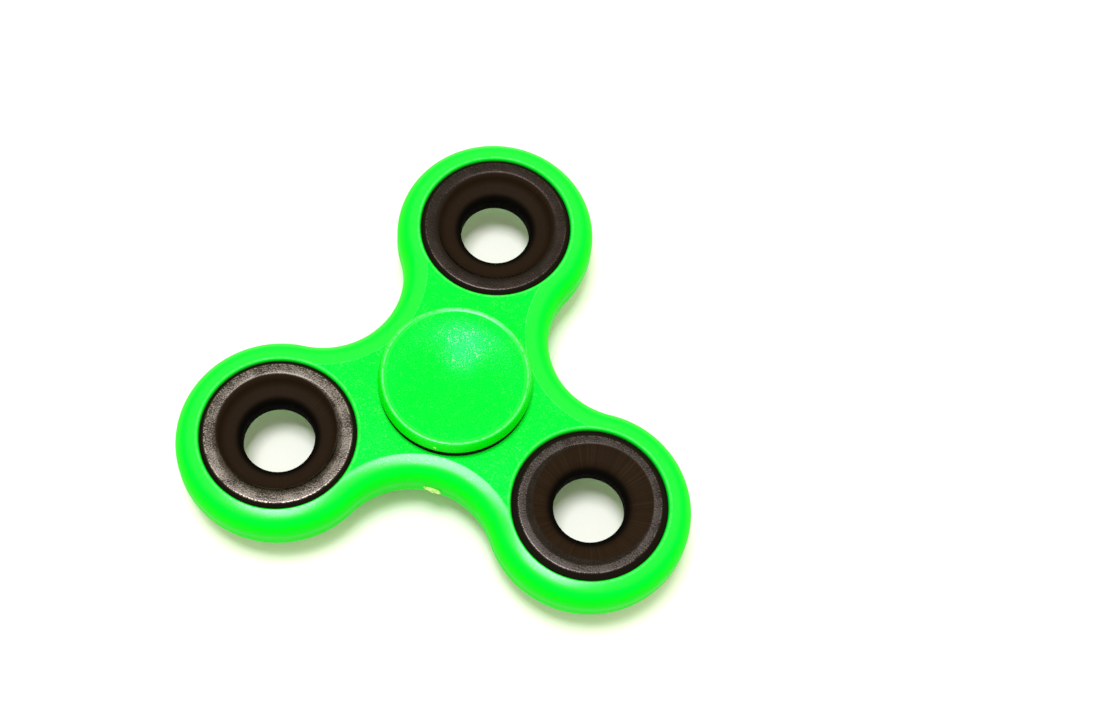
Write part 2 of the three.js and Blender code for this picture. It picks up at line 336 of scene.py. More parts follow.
def bearing_bore():
    """A plug the shape of the bearing's bore, which is narrowed by a lip at each face of the body."""
    past = 1 * MM
    seat = SEAT + BORE_SLACK
    chamfer = 0.06 * MM
    mouth = BEARING_LIP + chamfer
    profile = [
        (0, BODY_BOTTOM - past),
        (mouth, BODY_BOTTOM - past),
        (mouth, BODY_BOTTOM),
        (BEARING_LIP, BODY_BOTTOM + chamfer),
        (BEARING_LIP, BEARING_BOTTOM),
        (seat, BEARING_BOTTOM),
        (seat, BEARING_TOP),
        (BEARING_LIP, BEARING_TOP),
        (BEARING_LIP, BODY_TOP - chamfer),
        (mouth, BODY_TOP),
        (mouth, BODY_TOP + past),
        (0, BODY_TOP + past),
    ]
    return turned("bearing_bore", [(r / MM, z / MM) for r, z in profile], turns=WEIGHT_TURNS)


def ring_bore(place):
    """A plug the shape of a ring's bore, with a rounded mouth at the top and a ledge below the ring."""
    past = 1 * MM
    seat = SEAT + BORE_SLACK
    chamfer = 0.2 * MM
    mouth = [
        (seat + BORE_LIP - r, BODY_TOP - BORE_LIP + z)
        for r, z in arc((0, 0), BORE_LIP, 0, 90, 6)
    ]
    profile = [
        (0, BODY_BOTTOM - past),
        (RING_LEDGE + chamfer, BODY_BOTTOM - past),
        (RING_LEDGE + chamfer, BODY_BOTTOM),
        (RING_LEDGE, BODY_BOTTOM + chamfer),
        (RING_LEDGE, place.z - RING_HALF),
        (seat, place.z - RING_HALF),
        *mouth,
        (seat + BORE_LIP, BODY_TOP + past),
        (0, BODY_TOP + past),
    ]
    corners = [(r / MM, z / MM) for r, z in profile]
    return turned("ring_bore", corners, (place.x, place.y, 0), WEIGHT_TURNS)


def mould_body():
    """The side wall is drawn up in steps, then both faces are inset step by step into the rounding."""
    piece = draw_outline()
    wall = BODY_TOP - BODY_BOTTOM - 2 * edge_height()
    ridge = 0.06 * MM
    for step in (ridge, ridge, wall - 2 * ridge):
        bpy.ops.mesh.extrude_region_move(TRANSFORM_OT_translate={"value": (0, 0, step)})
    weld_and_face_out()
    crest = BODY_BOTTOM + edge_height() + ridge - piece.location.z
    pick(piece, "VERT", lambda vertex: abs(vertex.co.z - crest) < 0.001 * MM)
    bpy.ops.transform.shrink_fatten(value=PARTING_RIDGE)
    pick(piece, "FACE", is_flat)
    for inwards, up in edge_steps():
        bpy.ops.mesh.inset(thickness=inwards, depth=up)
    settle(piece)
    cut_away(piece, bearing_bore())
    for place in RING_PLACES:
        cut_away(piece, ring_bore(place))
    take_up(piece)
    bpy.ops.object.shade_smooth_by_angle(angle=math.radians(30))
    sharpen_flat_faces(piece)
    return piece


def sharpen_flat_faces(piece):
    """Keeps the flat faces flat to the light where a rounded edge runs into them."""
    rims = rim_edges(piece, is_flat)
    for edge in piece.data.edges:
        if edge.key in rims:
            edge.use_edge_sharp = True


def torn_stub(name, place, size, tilt, seed):
    """A small ragged sliver where a mould's gate was broken off, thin at its left end."""
    deselect_all()
    bpy.ops.mesh.primitive_cube_add(size=1, location=place)
    stub = bpy.context.object
    stub.name = stub.data.name = name
    stub.scale = size
    stub.rotation_euler = (0, tilt, 0)
    bpy.ops.object.transform_apply(location=False, rotation=True, scale=True)
    pick(stub, "FACE", lambda face: face.normal.x < -0.9)
    bpy.ops.transform.resize(value=(1, 0.7, 0.25))
    bpy.ops.mesh.select_all(action="SELECT")
    bpy.ops.mesh.subdivide(number_cuts=7, fractal=1.2, seed=seed)
    bpy.ops.transform.vertex_random(offset=0.32 * size[2], seed=seed)
    weld_and_face_out()
    return settle(stub, 20)


# ---- Weight rings ----


def ring_profile():
    """Stepped face up, dished face down, in millimetres from the ring's middle."""
    face = RING_HALF / MM
    seat = SEAT / MM
    return [
        (10.05, -face, 0.6),
        (seat, -face + 0.62, 0.2),
        (seat, face - 0.55, 0.18),
        (10.36, face, 0.6),
        (8.55, face, 1.2),
        (7.75, face - 1.15, 1.4),
        (5.05, face - 1.55, 0.95),
        (5.05, -face + 1.85, 0.12),
        (6.6, -face + 0.95, 1.6),
        (8.3, -face + 0.3, 0.5),
        (8.9, -face, 0.5),
    ]


def weight_rings():
    """Rings 1 and 2 lie with the stepped face up, and ring 3 the other way up."""
    stepped = turned("ring_1_turned", ring_profile(), RING_PLACES[0], WEIGHT_TURNS, 5)
    dished = upside_down(ring_profile())
    return [
        *repeated(stepped, RING_PLACES[:2], "ring_{}_turned"),
        turned("ring_3_turned", dished, RING_PLACES[2], WEIGHT_TURNS, 5),
    ]


# ---- Bearing ----


def race_groove(start, end):
    """The ground arc that the balls run in, in millimetres from the bearing's middle."""
    return arc((PITCH / MM, 0), RACE_GROOVE / MM, start, end, 12)


def outer_race():
    face = BEARING_HALF / MM
    groove = race_groove(47, -47)
    land = groove[0][0]
    shield_seat, shield_step = 9.95, 2.75
    corners = [
        (SEAT / MM, -face, 0.35),
        (SEAT / MM, face, 0.35),
        (shield_seat, face, 0.15),
        (shield_seat, shield_step),
        (land, shield_step, 0.12),
        *groove,
        (land, -shield_step, 0.12),
        (shield_seat, -shield_step),
        (shield_seat, -face, 0.15),
    ]
    return turned("outer_race_ground", corners, BEARING, WEIGHT_TURNS)


def inner_race():
    face = BEARING_HALF / MM
    groove = race_groove(227, 133)
    land = groove[0][0]
    bore = 4
    corners = [
        (bore, -face, 0.3),
        (land, -face, 0.25),
        *groove,
        (land, face, 0.25),
        (bore, face, 0.3),
    ]
    return turned("inner_race_ground", corners, BEARING)


def shield(name, upper):
    low = 2.77
    corners = [
        (6.3, low - 0.16, 0.1),
        (8.6, low - 0.16, 0.3),
        (8.95, low, 0.3),
        (9.9, low, 0.1),
        (9.9, low + 0.42, 0.08),
        (9.55, low + 0.42, 0.08),
        (9.5, low + 0.28, 0.1),
        (8.85, low + 0.28, 0.3),
        (8.5, low + 0.12, 0.3),
        (6.3, low + 0.12, 0.1),
    ]
    return turned(name, corners if upper else upside_down(corners), BEARING, FINE_TURNS, 3)


def balls():
    """Steel balls, the first from a divided cube blown out to a sphere."""
    deselect_all()
    bpy.ops.mesh.primitive_cube_add(size=2 * BALL, location=BALL_PLACES[0])
    piece = bpy.context.object
    piece.name = piece.data.name = "ball_1_polished"
    bpy.ops.object.mode_set(mode="EDIT")
    bpy.ops.mesh.subdivide(number_cuts=11)
    bpy.ops.object.mode_set(mode="OBJECT")
    apply_modifier(
        piece, "CAST", cast_type="SPHERE", factor=1, use_radius_as_size=False, size=BALL
    )
    return repeated(settle(piece, 60), BALL_PLACES, "ball_{}_polished")


def cage_half(name, upper):
    """Pressed sheet: an arch over each ball, flat tabs between them and a rivet hole in each tab."""
    sheet = 0.3
    inner, outer, crown = 6.55, 8.45, 2.25
    tab = 0.02 + sheet / 2
    arch = math.pi - 2 * math.asin(tab / crown)
    foot = math.sqrt(crown**2 - tab**2)
    piece = first_point(name, (inner * MM, -foot * MM, BEARING.z + tab * MM))
    for _ in range(4):
        step = ((outer - inner) / 4 * MM, 0, 0)
        bpy.ops.mesh.extrude_vertices_move(TRANSFORM_OT_translate={"value": step})
    bpy.ops.mesh.select_all(action="SELECT")
    swing(-arch, 16, BEARING, (1, 0, 0))
    bpy.ops.mesh.select_all(action="SELECT")
    swing(FULL_TURN, BALL_COUNT, BEARING, copies=True)
    weld_and_face_out()
    bridge_tabs(piece, tab * MM)
    settle(piece)
    apply_modifier(piece, "SOLIDIFY", thickness=sheet * MM, offset=0)
    hole = turned("rivet_hole", [(0, -1), (0.32, -1), (0.32, 1), (0, 1)], tab_place(0), 24)
    edit(hole)
    bpy.ops.mesh.select_all(action="SELECT")
    swing(FULL_TURN, BALL_COUNT, BEARING, copies=True)
    weld_and_face_out()
    cut_away(piece, hole)
    apply_modifier(piece, "BEVEL", width=0.06 * MM, segments=2, limit_method="ANGLE", angle_limit=1)
    if not upper:
        edit(piece)
        bpy.ops.mesh.select_all(action="SELECT")
        bpy.ops.transform.resize(value=(1, 1, -1), center_override=BEARING)
        bpy.ops.mesh.normals_make_consistent(inside=False)
    return settle(piece)


def tab_place(number):
    angle = (number + 0.5) * FULL_TURN / BALL_COUNT
    return Vector((PITCH * math.cos(angle), PITCH * math.sin(angle), BEARING.z))


def bridge_tabs(piece, tab):
    """Joins the feet of neighbouring arches with a flat tab."""
    bpy.ops.object.mode_set(mode="OBJECT")
    shift = piece.location
    for number in range(BALL_COUNT):
        place = tab_place(number)

        def is_foot(edge):
            ends = [piece.data.vertices[v].co + shift for v in edge.vertices]
            level = all(abs(end.z - BEARING.z - tab) < 0.01 * MM for end in ends)
            near = all((end.xy - place.xy).length < 1.75 * MM for end in ends)
            return level and near

        pick(piece, "EDGE", is_foot)
        bpy.ops.mesh.bridge_edge_loops(number_cuts=3)
        bpy.ops.object.mode_set(mode="OBJECT")


def rivets():
    shank, head, sheets, height = 0.28, 0.55, 0.33, 0.58
    corners = [
        (0, -height),
        (head - 0.05, -height, 0.2),
        (head, -sheets, 0.03),
        (shank, -sheets),
        (shank, sheets),
        (head, sheets, 0.03),
        (head - 0.05, height, 0.2),
        (0, height),
    ]
    places = [tab_place(number) for number in range(BALL_COUNT)]
    return repeated(turned("rivet_1_set", corners, places[0], 32), places, "rivet_{}_set")


# ---- Finger caps ----


def cap_side():
    """The boss and bulging side of a cap, in millimetres out from the bearing's face."""
    top = (CAP_TOP - BEARING_TOP) / MM
    under = top - CAP_DISC / MM
    boss = 5.6
    return [
        (boss, 0.02, 0.1),
        (boss, under, 0.3),
        (10.4, under, 0.2),
        (10.96, under + 1.25, 0.7),
        (10.8, under + 2.1, 2.0),
        (10.44, top, 0.28),
    ]


def top_cap():
    """The upper cap has a hollow stub, and a dish for the fingertip inside a raised rim."""
    top = (CAP_TOP - BEARING_TOP) / MM
    stub, stub_end = CAP_STUB / MM, -CAP_STUB_LENGTH / MM
    hollow, hollow_end = 2.05, 0.7
    rim, depth, bead, steps = 9.8, 1.12, 0.07, 18
    dish = [
        (rim * k / steps, top - bead - depth * (1 + math.cos(math.pi * k / steps)) / 2)
        for k in range(steps - 1, -1, -1)
    ]
    corners = [
        (0, hollow_end),
        (hollow, hollow_end),
        (hollow, stub_end, 0.1),
        (stub, stub_end, 0.3),
        (stub, 0.02),
        *cap_side(),
        (10.08, top, 0.35),
        (rim, top - bead, 0.3),
        *dish,
    ]
    return turned("top_cap_moulded", corners, (0, 0, BEARING_TOP), WEIGHT_TURNS, 6)


def bottom_cap():
    """The lower cap is flat, with a stub and a pin that goes up into the upper cap's stub."""
    top = (CAP_TOP - BEARING_TOP) / MM
    stub, stub_end = CAP_STUB / MM, -CAP_STUB_LENGTH / MM
    pin, pin_end = 2, -7.5
    corners = [
        (0, pin_end),
        (pin, pin_end, 0.3),
        (pin, stub_end),
        (stub, stub_end, 0.3),
        (stub, 0.02),
        *cap_side(),
        (0, top),
    ]
    centre = (0, 0, BEARING_BOTTOM)
    return turned("bottom_cap_moulded", upside_down(corners), centre, WEIGHT_TURNS, 6)


# ---- Shader helpers ----


def add(tree, kind, inputs=None, **settings):
    """A node with its settings, and inputs that are values or sockets of other nodes."""
    made = tree.nodes.new(kind)
    for key, value in settings.items():
        setattr(made, key, value)
    for key, value in (inputs or {}).items():
        if isinstance(value, bpy.types.NodeSocket):
            tree.links.new(value, made.inputs[key])
        else:
            made.inputs[key].default_value = value
    return made


def maths(tree, operation, a, b=0.0, clamp=False):
    made = add(tree, "ShaderNodeMath", {0: a, 1: b}, operation=operation, use_clamp=clamp)
    return made.outputs[0]


def ramp_between(tree, value, low, high, to_low=0.0, to_high=1.0):
    """Maps a value smoothly from one range to another."""
    inputs = {"Value": value, "From Min": low, "From Max": high, "To Min": to_low, "To Max": to_high}
    made = add(tree, "ShaderNodeMapRange", inputs, interpolation_type="SMOOTHSTEP")
    return made.outputs[0]


def blend_colours(tree, mask, first, second):
    made = add(tree, "ShaderNodeMix", data_type="RGBA")
    for key, value in ((0, mask), (6, first), (7, second)):
        if isinstance(value, bpy.types.NodeSocket):
            tree.links.new(value, made.inputs[key])
        else:
            made.inputs[key].default_value = value
    return made.outputs[2]


def noise(tree, vector, scale, detail=2.0, roughness=0.5):
    inputs = {"Vector": vector, "Scale": scale, "Detail": detail, "Roughness": roughness}
    return add(tree, "ShaderNodeTexNoise", inputs).outputs["Fac"]


def new_group(name, inputs, outputs):
    """An empty node group with its named sockets, and its inner input and output nodes."""
    group = bpy.data.node_groups.new(name, "ShaderNodeTree")
    for label, kind, value in inputs:
        socket = group.interface.new_socket(label, in_out="INPUT", socket_type=kind)
        if value is not None:
            socket.default_value = value
    for label, kind in outputs:
        group.interface.new_socket(label, in_out="OUTPUT", socket_type=kind)
    return group, group.nodes.new("NodeGroupInput"), group.nodes.new("NodeGroupOutput")


def use_group(tree, group, inputs):
    return add(tree, "ShaderNodeGroup", inputs, node_tree=group)


def new_material(name):
    material = bpy.data.materials.new(name)
    material.use_nodes = True
    tree = material.node_tree
    return material, tree, tree.nodes["Principled BSDF"]


def centred(tree, centre):
    """Object coordinates counted from a piece's own centre."""
    place = add(tree, "ShaderNodeTexCoord").outputs["Object"]
    inputs = {"Vector": place, "Location": [-c for c in centre]}
    return add(tree, "ShaderNodeMapping", inputs, vector_type="POINT").outputs[0]


def distance_out(tree, vector):
    """Distance from a piece's own upright axis, and the direction outwards from it."""
    parts = add(tree, "ShaderNodeSeparateXYZ", {0: vector})
    level = {0: parts.outputs[0], 1: parts.outputs[1]}
    flat = add(tree, "ShaderNodeCombineXYZ", level).outputs[0]
    radius = add(tree, "ShaderNodeVectorMath", {0: flat}, operation="LENGTH").outputs["Value"]
    spoke = add(tree, "ShaderNodeVectorMath", {0: flat}, operation="NORMALIZE").outputs["Vector"]
    return radius, spoke


def soft_line(tree, value, centre, half_width):
    """A line where a value passes its centre, 1 there and 0 at half a width to each side."""
    off = maths(tree, "ABSOLUTE", maths(tree, "SUBTRACT", value, centre))
    return ramp_between(tree, off, half_width, 0.3 * half_width)


def brightened(tree, colour, times):
    inputs = {0: colour, "Scale": times}
    return add(tree, "ShaderNodeVectorMath", inputs, operation="SCALE").outputs["Vector"]


def raise_surface(tree, shader, height, strength, depth):
    relief = {"Height": height, "Strength": strength, "Distance": depth}
    tree.links.new(add(tree, "ShaderNodeBump", relief).outputs[0], shader.inputs["Normal"])


def wire_finish(tree, shader, made, sockets):
    """Wires a finish group's outputs to the shader's sockets."""
    for output, socket in sockets.items():
        tree.links.new(made.outputs[output], shader.inputs[socket])


# ---- Shared finishes ----


def green_moulding():
    """Neon green plastic. The mould's spark-eroded grain is strong on the faces and faint on the polished
    rounding, rubbed edges glint through it, thin pale lines broken by nicks are mostly painted
    highlights, and side walls lose the faces' touch of blue as painted shade."""
    sockets = [
        ("Vector", "NodeSocketVector", None),
        ("Grain", "NodeSocketFloat", 1.0),
        ("Wall", "NodeSocketFloat", 0.0),
        ("Rubbed", "NodeSocketFloat", 0.0),
        ("Highlight lines", "NodeSocketFloat", 0.0),
        ("Sparkle", "NodeSocketFloat", 1.0),
    ]
    results = [
        ("Colour", "NodeSocketColor"),
        ("Roughness", "NodeSocketFloat"),
        ("Glints", "NodeSocketFloat"),
        ("Height", "NodeSocketFloat"),
    ]
    group, given, result = new_group("green_moulding", sockets, results)
    vector, amount, wall, rubbed, highlight_lines, sparkle = (given.outputs[k] for k in range(6))
    per_metre = 4600.0
    fine = noise(group, vector, per_metre, 2.0, 0.6)
    pitting = {"Vector": vector, "Scale": 0.8 * per_metre}
    pits = add(group, "ShaderNodeTexVoronoi", pitting).outputs[0]
    grain = maths(group, "ADD", fine, maths(group, "MULTIPLY", pits, 0.3))
    patches = noise(group, vector, 160.0, 3.0)

    patchy = maths(group, "MULTIPLY", patches, 0.5)
    shade = maths(group, "ADD", patchy, maths(group, "MULTIPLY", grain, 0.3))
    colour = blend_colours(group, shade, NEON_DEEP, NEON)
    # Side walls lose the faces' touch of blue: painted shade
    colour = blend_colours(group, wall, colour, NEON_WALL_SHADE)
    # Thin pale lines broken by nicks: painted highlights along edges and bore mouths
    nicked_highlight = ramp_between(group, noise(group, vector, 1900.0, 3.0), 0.3, 0.6)
    colour = blend_colours(group, maths(group, "MULTIPLY", highlight_lines, nicked_highlight), colour, NEON_PALE)
    group.links.new(colour, result.inputs[0])

    rough = maths(group, "ADD", maths(group, "MULTIPLY", wall, 0.3), 0.2)
    uneven = maths(group, "MULTIPLY", maths(group, "SUBTRACT", patches, 0.5), 0.12)
    group.links.new(maths(group, "ADD", rough, uneven), result.inputs[1])

    clusters = ramp_between(group, noise(group, vector, 700.0, 2.0), 0.4, 0.62, 0.25, 1.0)
    glint = maths(group, "MULTIPLY", ramp_between(group, fine, 0.57, 0.65), clusters)
    rub = maths(group, "MULTIPLY", rubbed, ramp_between(group, glint, 0.0, 1.0, 0.42, 1.0))
    specks = maths(group, "MULTIPLY", maths(group, "MULTIPLY", amount, sparkle), glint)
    group.links.new(maths(group, "MAXIMUM", rub, specks), result.inputs[2])

    share = maths(group, "ADD", maths(group, "MULTIPLY", amount, 0.92), 0.08)
    group.links.new(maths(group, "MULTIPLY", grain, share), result.inputs[3])
    return group


def tumbled_steel():
    """A fine sanded tooth with short faint scratches and small dings from tumbling in a barrel."""
    sockets = [
        ("Vector", "NodeSocketVector", None),
        ("Scratch", "NodeSocketFloat", 1.0),
    ]
    results = [
        ("Height", "NodeSocketFloat"),
        ("Bright", "NodeSocketFloat"),
        ("Cloud", "NodeSocketFloat"),
    ]
    group, given, result = new_group("tumbled_steel", sockets, results)
    vector, amount = given.outputs[0], given.outputs[1]
    scratches = 0.0
    for turn in (0.4, 1.5, 2.6):
        settings = {"Vector": vector, "Rotation": (0, 0, turn), "Scale": (1, 14, 1)}
        lines = add(group, "ShaderNodeMapping", settings, vector_type="TEXTURE").outputs[0]
        mark = ramp_between(group, noise(group, lines, 9000.0, 1.0), 0.68, 0.8)
        scratches = maths(group, "MAXIMUM", scratches, mark)
    spots = noise(group, vector, 5200.0, 2.0)
    dings = ramp_between(group, spots, 0.72, 0.8)
    bright = maths(group, "ADD", maths(group, "MULTIPLY", scratches, 0.35), dings, clamp=True)
    fine = noise(group, vector, 4500.0, 2.0, 0.6)
    broad = noise(group, vector, 450.0, 4.0, 0.6)
    fine_share = maths(group, "MULTIPLY", fine, 0.6)
    broad_share = maths(group, "MULTIPLY", broad, 0.4)
    cloud = ramp_between(group, maths(group, "ADD", fine_share, broad_share), 0.36, 0.64)
    relief = maths(group, "SUBTRACT", fine, maths(group, "MULTIPLY", scratches, 0.3))
    group.links.new(maths(group, "MULTIPLY", relief, amount), result.inputs[0])
    group.links.new(maths(group, "MULTIPLY", bright, amount), result.inputs[1])
    group.links.new(cloud, result.inputs[2])
    return group


def blackened_ring(tumbled):
    """Blackened steel: worn to the metal on the flat rim and its edges, brown and dull in the hollow, and
    painted near black towards the hole as painted shade. Streaked is 1 where the hollow shows fine
    turning marks, and the rim vector is the place counted from a middle shifted towards where the light
    falls on the rim, so that the worn rim's width carries painted light and shade."""
    sockets = [
        ("Vector", "NodeSocketVector", None),
        ("Lit rim vector", "NodeSocketVector", None),
        ("Rim radius", "NodeSocketFloat", STEPPED_RIM),
        ("Wear and sheen", "NodeSocketColor", RING_WEAR_AND_SHEEN[0]),
        ("Streaked", "NodeSocketFloat", 0.0),
    ]
    results = [
        ("Colour", "NodeSocketColor"),
        ("Worn", "NodeSocketFloat"),
        ("Roughness", "NodeSocketFloat"),
        ("Height", "NodeSocketFloat"),
    ]
    group, given, result = new_group("blackened_ring", sockets, results)
    vector, lit_rim_vector, outer, wear_and_sheen, streaked = (given.outputs[k] for k in range(5))
    radius, spoke = distance_out(group, vector)
    # The worn rim's inner edge is measured from a shifted middle and reaches further in where the light
    # falls: painted light and shade
    inside = ramp_between(group, distance_out(group, lit_rim_vector)[0], 8.3 * MM, 8.62 * MM)
    rim_end = maths(group, "ADD", outer, 0.24 * MM)
    rim_fade = maths(group, "ADD", outer, 0.1 * MM)
    worn = maths(group, "MULTIPLY", inside, ramp_between(group, radius, rim_end, rim_fade))
    made = use_group(group, tumbled, {"Vector": vector, "Scratch": worn})
    cloud = made.outputs["Cloud"]

    streaks = noise(group, spoke, 46.0, 4.0, 0.7)
    dark_below = maths(group, "SUBTRACT", 0.5, maths(group, "MULTIPLY", streaked, 0.1))
    brown_above = maths(group, "SUBTRACT", 1.1, maths(group, "MULTIPLY", streaked, 0.2))
    browned = ramp_between(group, streaks, dark_below, brown_above)
    hollow = blend_colours(group, browned, HOLLOW_DARK, HOLLOW_BROWN)
    # Painted shade: the hollow turns near black towards the hole, where the hole wall lies in shadow
    hole_shade = ramp_between(group, radius, 6.4 * MM, 5.4 * MM)
    hollow = blend_colours(group, hole_shade, hollow, HOLE_SHADE_BLACK)
    band = ramp_between(group, radius, outer, maths(group, "ADD", outer, 0.2 * MM))
    hollow = blend_colours(group, band, hollow, BAND_BLACK)

    # Each ring's rim tone is worn metal, lighter on ring 2 as painted sheen
    rim = blend_colours(group, cloud, BLACKENED, wear_and_sheen)
    rim = blend_colours(group, made.outputs["Bright"], rim, brightened(group, wear_and_sheen, 2.0))
    # A bright line round the rim's outer edge, broken up: bright nicks in part, a painted highlight of
    # the edge in part
    edge = soft_line(group, radius, outer, 0.1 * MM)
    nicked_highlight = maths(group, "MULTIPLY", edge, ramp_between(group, cloud, 0.45, 0.62))
    rim = blend_colours(group, nicked_highlight, rim, brightened(group, wear_and_sheen, 2.5))
    group.links.new(blend_colours(group, worn, hollow, rim), result.inputs[0])
    group.links.new(worn, result.inputs[1])

    rough = ramp_between(group, cloud, 0.2, 0.8, 0.24, 0.38)
    dull = ramp_between(group, hole_shade, 0.0, 1.0, 0.6, 0.9)
    mixed = add(group, "ShaderNodeMix", {0: worn, 2: dull, 3: rough}, data_type="FLOAT")
    group.links.new(mixed.outputs[0], result.inputs[2])
    ribs = maths(group, "MULTIPLY", streaks, maths(group, "MULTIPLY", streaked, 0.6))
    group.links.new(maths(group, "ADD", made.outputs["Height"], ribs), result.inputs[3])
    return group


# ---- Materials ----


def green_plastic(name, centre):
    """A material to be finished as green moulding, with Object coordinates counted from a centre."""
    material, tree, shader = new_material(name)
    shader.inputs["Specular IOR Level"].default_value = 0.16
    shader.inputs["Specular Tint"].default_value = (0.15, 1.0, 0.8, 1)
    shader.inputs["Coat Roughness"].default_value = 0.22
    return material, tree, shader, centred(tree, centre)


def wire_green(tree, shader, made):
    sockets = {"Colour": "Base Color", "Roughness": "Roughness", "Glints": "Coat Weight"}
    wire_finish(tree, shader, made, sockets)
    raise_surface(tree, shader, made.outputs["Height"], 1.0, 0.024 * MM)


def green_body(moulding):
    material, tree, shader, vector = green_plastic("neon_green_body", (0, 0, BODY_MIDDLE))
    parts = add(tree, "ShaderNodeSeparateXYZ", {0: vector})
    half = (BODY_TOP - BODY_BOTTOM) / 2
    below_face = maths(tree, "SUBTRACT", half, maths(tree, "ABSOLUTE", parts.outputs[2]))
    amount = ramp_between(tree, below_face, 0.3 * MM, 0.08 * MM)
    wall = ramp_between(tree, below_face, 0.4 * MM, 1.4 * MM)
    proud = ramp_between(tree, below_face, 0.005 * MM, 0.04 * MM)
    crown = maths(tree, "MULTIPLY", proud, ramp_between(tree, below_face, 0.5 * MM, 0.2 * MM))
    # Painted highlights: a pale line where the flat faces meet the rounding and one round each ring
    # bore's mouth, on the upper face only
    highlight_lines = soft_line(tree, below_face, 0.018 * MM, 0.018 * MM)
    level = {0: parts.outputs[0], 1: parts.outputs[1]}
    flat = add(tree, "ShaderNodeCombineXYZ", level).outputs[0]
    for place in RING_PLACES:
        from_ring = {0: flat, 1: (place.x, place.y, 0)}
        away = add(tree, "ShaderNodeVectorMath", from_ring, operation="DISTANCE").outputs["Value"]
        bore_mouth = soft_line(tree, away, SEAT + 0.42 * MM, 0.14 * MM)
        highlight_lines = maths(tree, "MAXIMUM", highlight_lines, bore_mouth)
    on_top = ramp_between(tree, parts.outputs[2], 0.0, 1 * MM, 0.0, 0.5)
    highlight_lines = maths(tree, "MULTIPLY", highlight_lines, on_top)
    masks = {"Grain": amount, "Wall": wall, "Rubbed": crown, "Highlight lines": highlight_lines, "Sparkle": 1.0}
    wire_green(tree, shader, use_group(tree, moulding, {"Vector": vector, **masks}))
    return material


def green_cap(moulding):
    material, tree, shader, vector = green_plastic("neon_green_cap", (0, 0, CAP_TOP / 2))
    radius = distance_out(tree, vector)[0]
    amount = ramp_between(tree, radius, 10.1 * MM, 9.7 * MM)
    # The cap's side takes the walls' green without blue: painted shade
    wall = ramp_between(tree, radius, 10.4 * MM, 10.6 * MM)
    past_dish = ramp_between(tree, radius, 9.6 * MM, 9.8 * MM)
    before_side = ramp_between(tree, radius, 10.6 * MM, 10.4 * MM)
    rim = maths(tree, "MULTIPLY", past_dish, before_side)
    # A pale line round the cap's rim: painted highlight in part, pale flash in part
    highlight_lines = soft_line(tree, radius, 10.2 * MM, 0.16 * MM)
    masks = {"Grain": amount, "Wall": wall, "Rubbed": rim, "Highlight lines": highlight_lines, "Sparkle": 0.8}
    wire_green(tree, shader, use_group(tree, moulding, {"Vector": vector, **masks}))
    return material


def torn_plastic():
    """Stretched plastic turns pale where it tears."""
    material, tree, shader = new_material("torn_plastic")
    vector = add(tree, "ShaderNodeTexCoord").outputs["Object"]
    tone = noise(tree, vector, 3500.0, 3.0)
    colour = blend_colours(tree, tone, TORN_GREEN, TORN_PALE)
    tree.links.new(colour, shader.inputs["Base Color"])
    raise_surface(tree, shader, tone, 0.6, 0.05 * MM)
    shader.inputs["Roughness"].default_value = 0.5
    return material


def dark_ring_steel(name, blackened, centre, rim_light_shift, wear_and_sheen, rim_radius, streaked):
    material, tree, shader = new_material(name)
    lit_rim_centre = [c + shift for c, shift in zip(centre, rim_light_shift)]
    places = {"Vector": centred(tree, centre), "Lit rim vector": centred(tree, lit_rim_centre)}
    values = {"Rim radius": rim_radius, "Wear and sheen": wear_and_sheen, "Streaked": streaked}
    made = use_group(tree, blackened, {**places, **values})
    sockets = {"Colour": "Base Color", "Worn": "Metallic", "Roughness": "Roughness"}
    wire_finish(tree, shader, made, sockets)
    raise_surface(tree, shader, made.outputs["Height"], 0.6, 0.03 * MM)
    shader.inputs["Specular IOR Level"].default_value = 0.04
    return material


def bright_steel(name, tumbled, tones, roughness, scratch, gap_shade_from=None):
    """Ground, polished or pressed steel with a film of oil, painted black and dull past a radius if one
    is
    given: painted shade of the dark gap under the cap."""
    material, tree, shader = new_material(name)
    vector = centred(tree, BEARING)
    made = use_group(tree, tumbled, {"Vector": vector, "Scratch": scratch})
    colour = blend_colours(tree, made.outputs["Cloud"], *tones)
    polished, dull = 0.75 * roughness, 1.3 * roughness
    rough = ramp_between(tree, made.outputs["Cloud"], 0.3, 0.7, polished, dull)
    shader.inputs["Metallic"].default_value = 1.0
    # Past the radius the race is painted black, dull and not metallic: painted shade of the gap under the
    # cap
    if gap_shade_from:
        unshaded = ramp_between(tree, distance_out(tree, vector)[0], gap_shade_from, gap_shade_from - 0.05 * MM)
        colour = blend_colours(tree, unshaded, RACE_GAP_SHADE_BLACK, colour)
        gap_shade_roughness = 0.8
        mixed = {0: unshaded, 2: gap_shade_roughness, 3: rough}
        rough = add(tree, "ShaderNodeMix", mixed, data_type="FLOAT").outputs[0]
        tree.links.new(unshaded, shader.inputs["Metallic"])
    tree.links.new(colour, shader.inputs["Base Color"])
    tree.links.new(rough, shader.inputs["Roughness"])
    raise_surface(tree, shader, made.outputs["Height"], 0.15, 0.01 * MM)
    return material


# ---- Assembly ----


def fit(piece, body, slot, material, *nodes):
    piece.data.materials.clear()
    piece.data.materials.append(material)
    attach(piece, body)
    if nodes:
        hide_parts(*nodes)


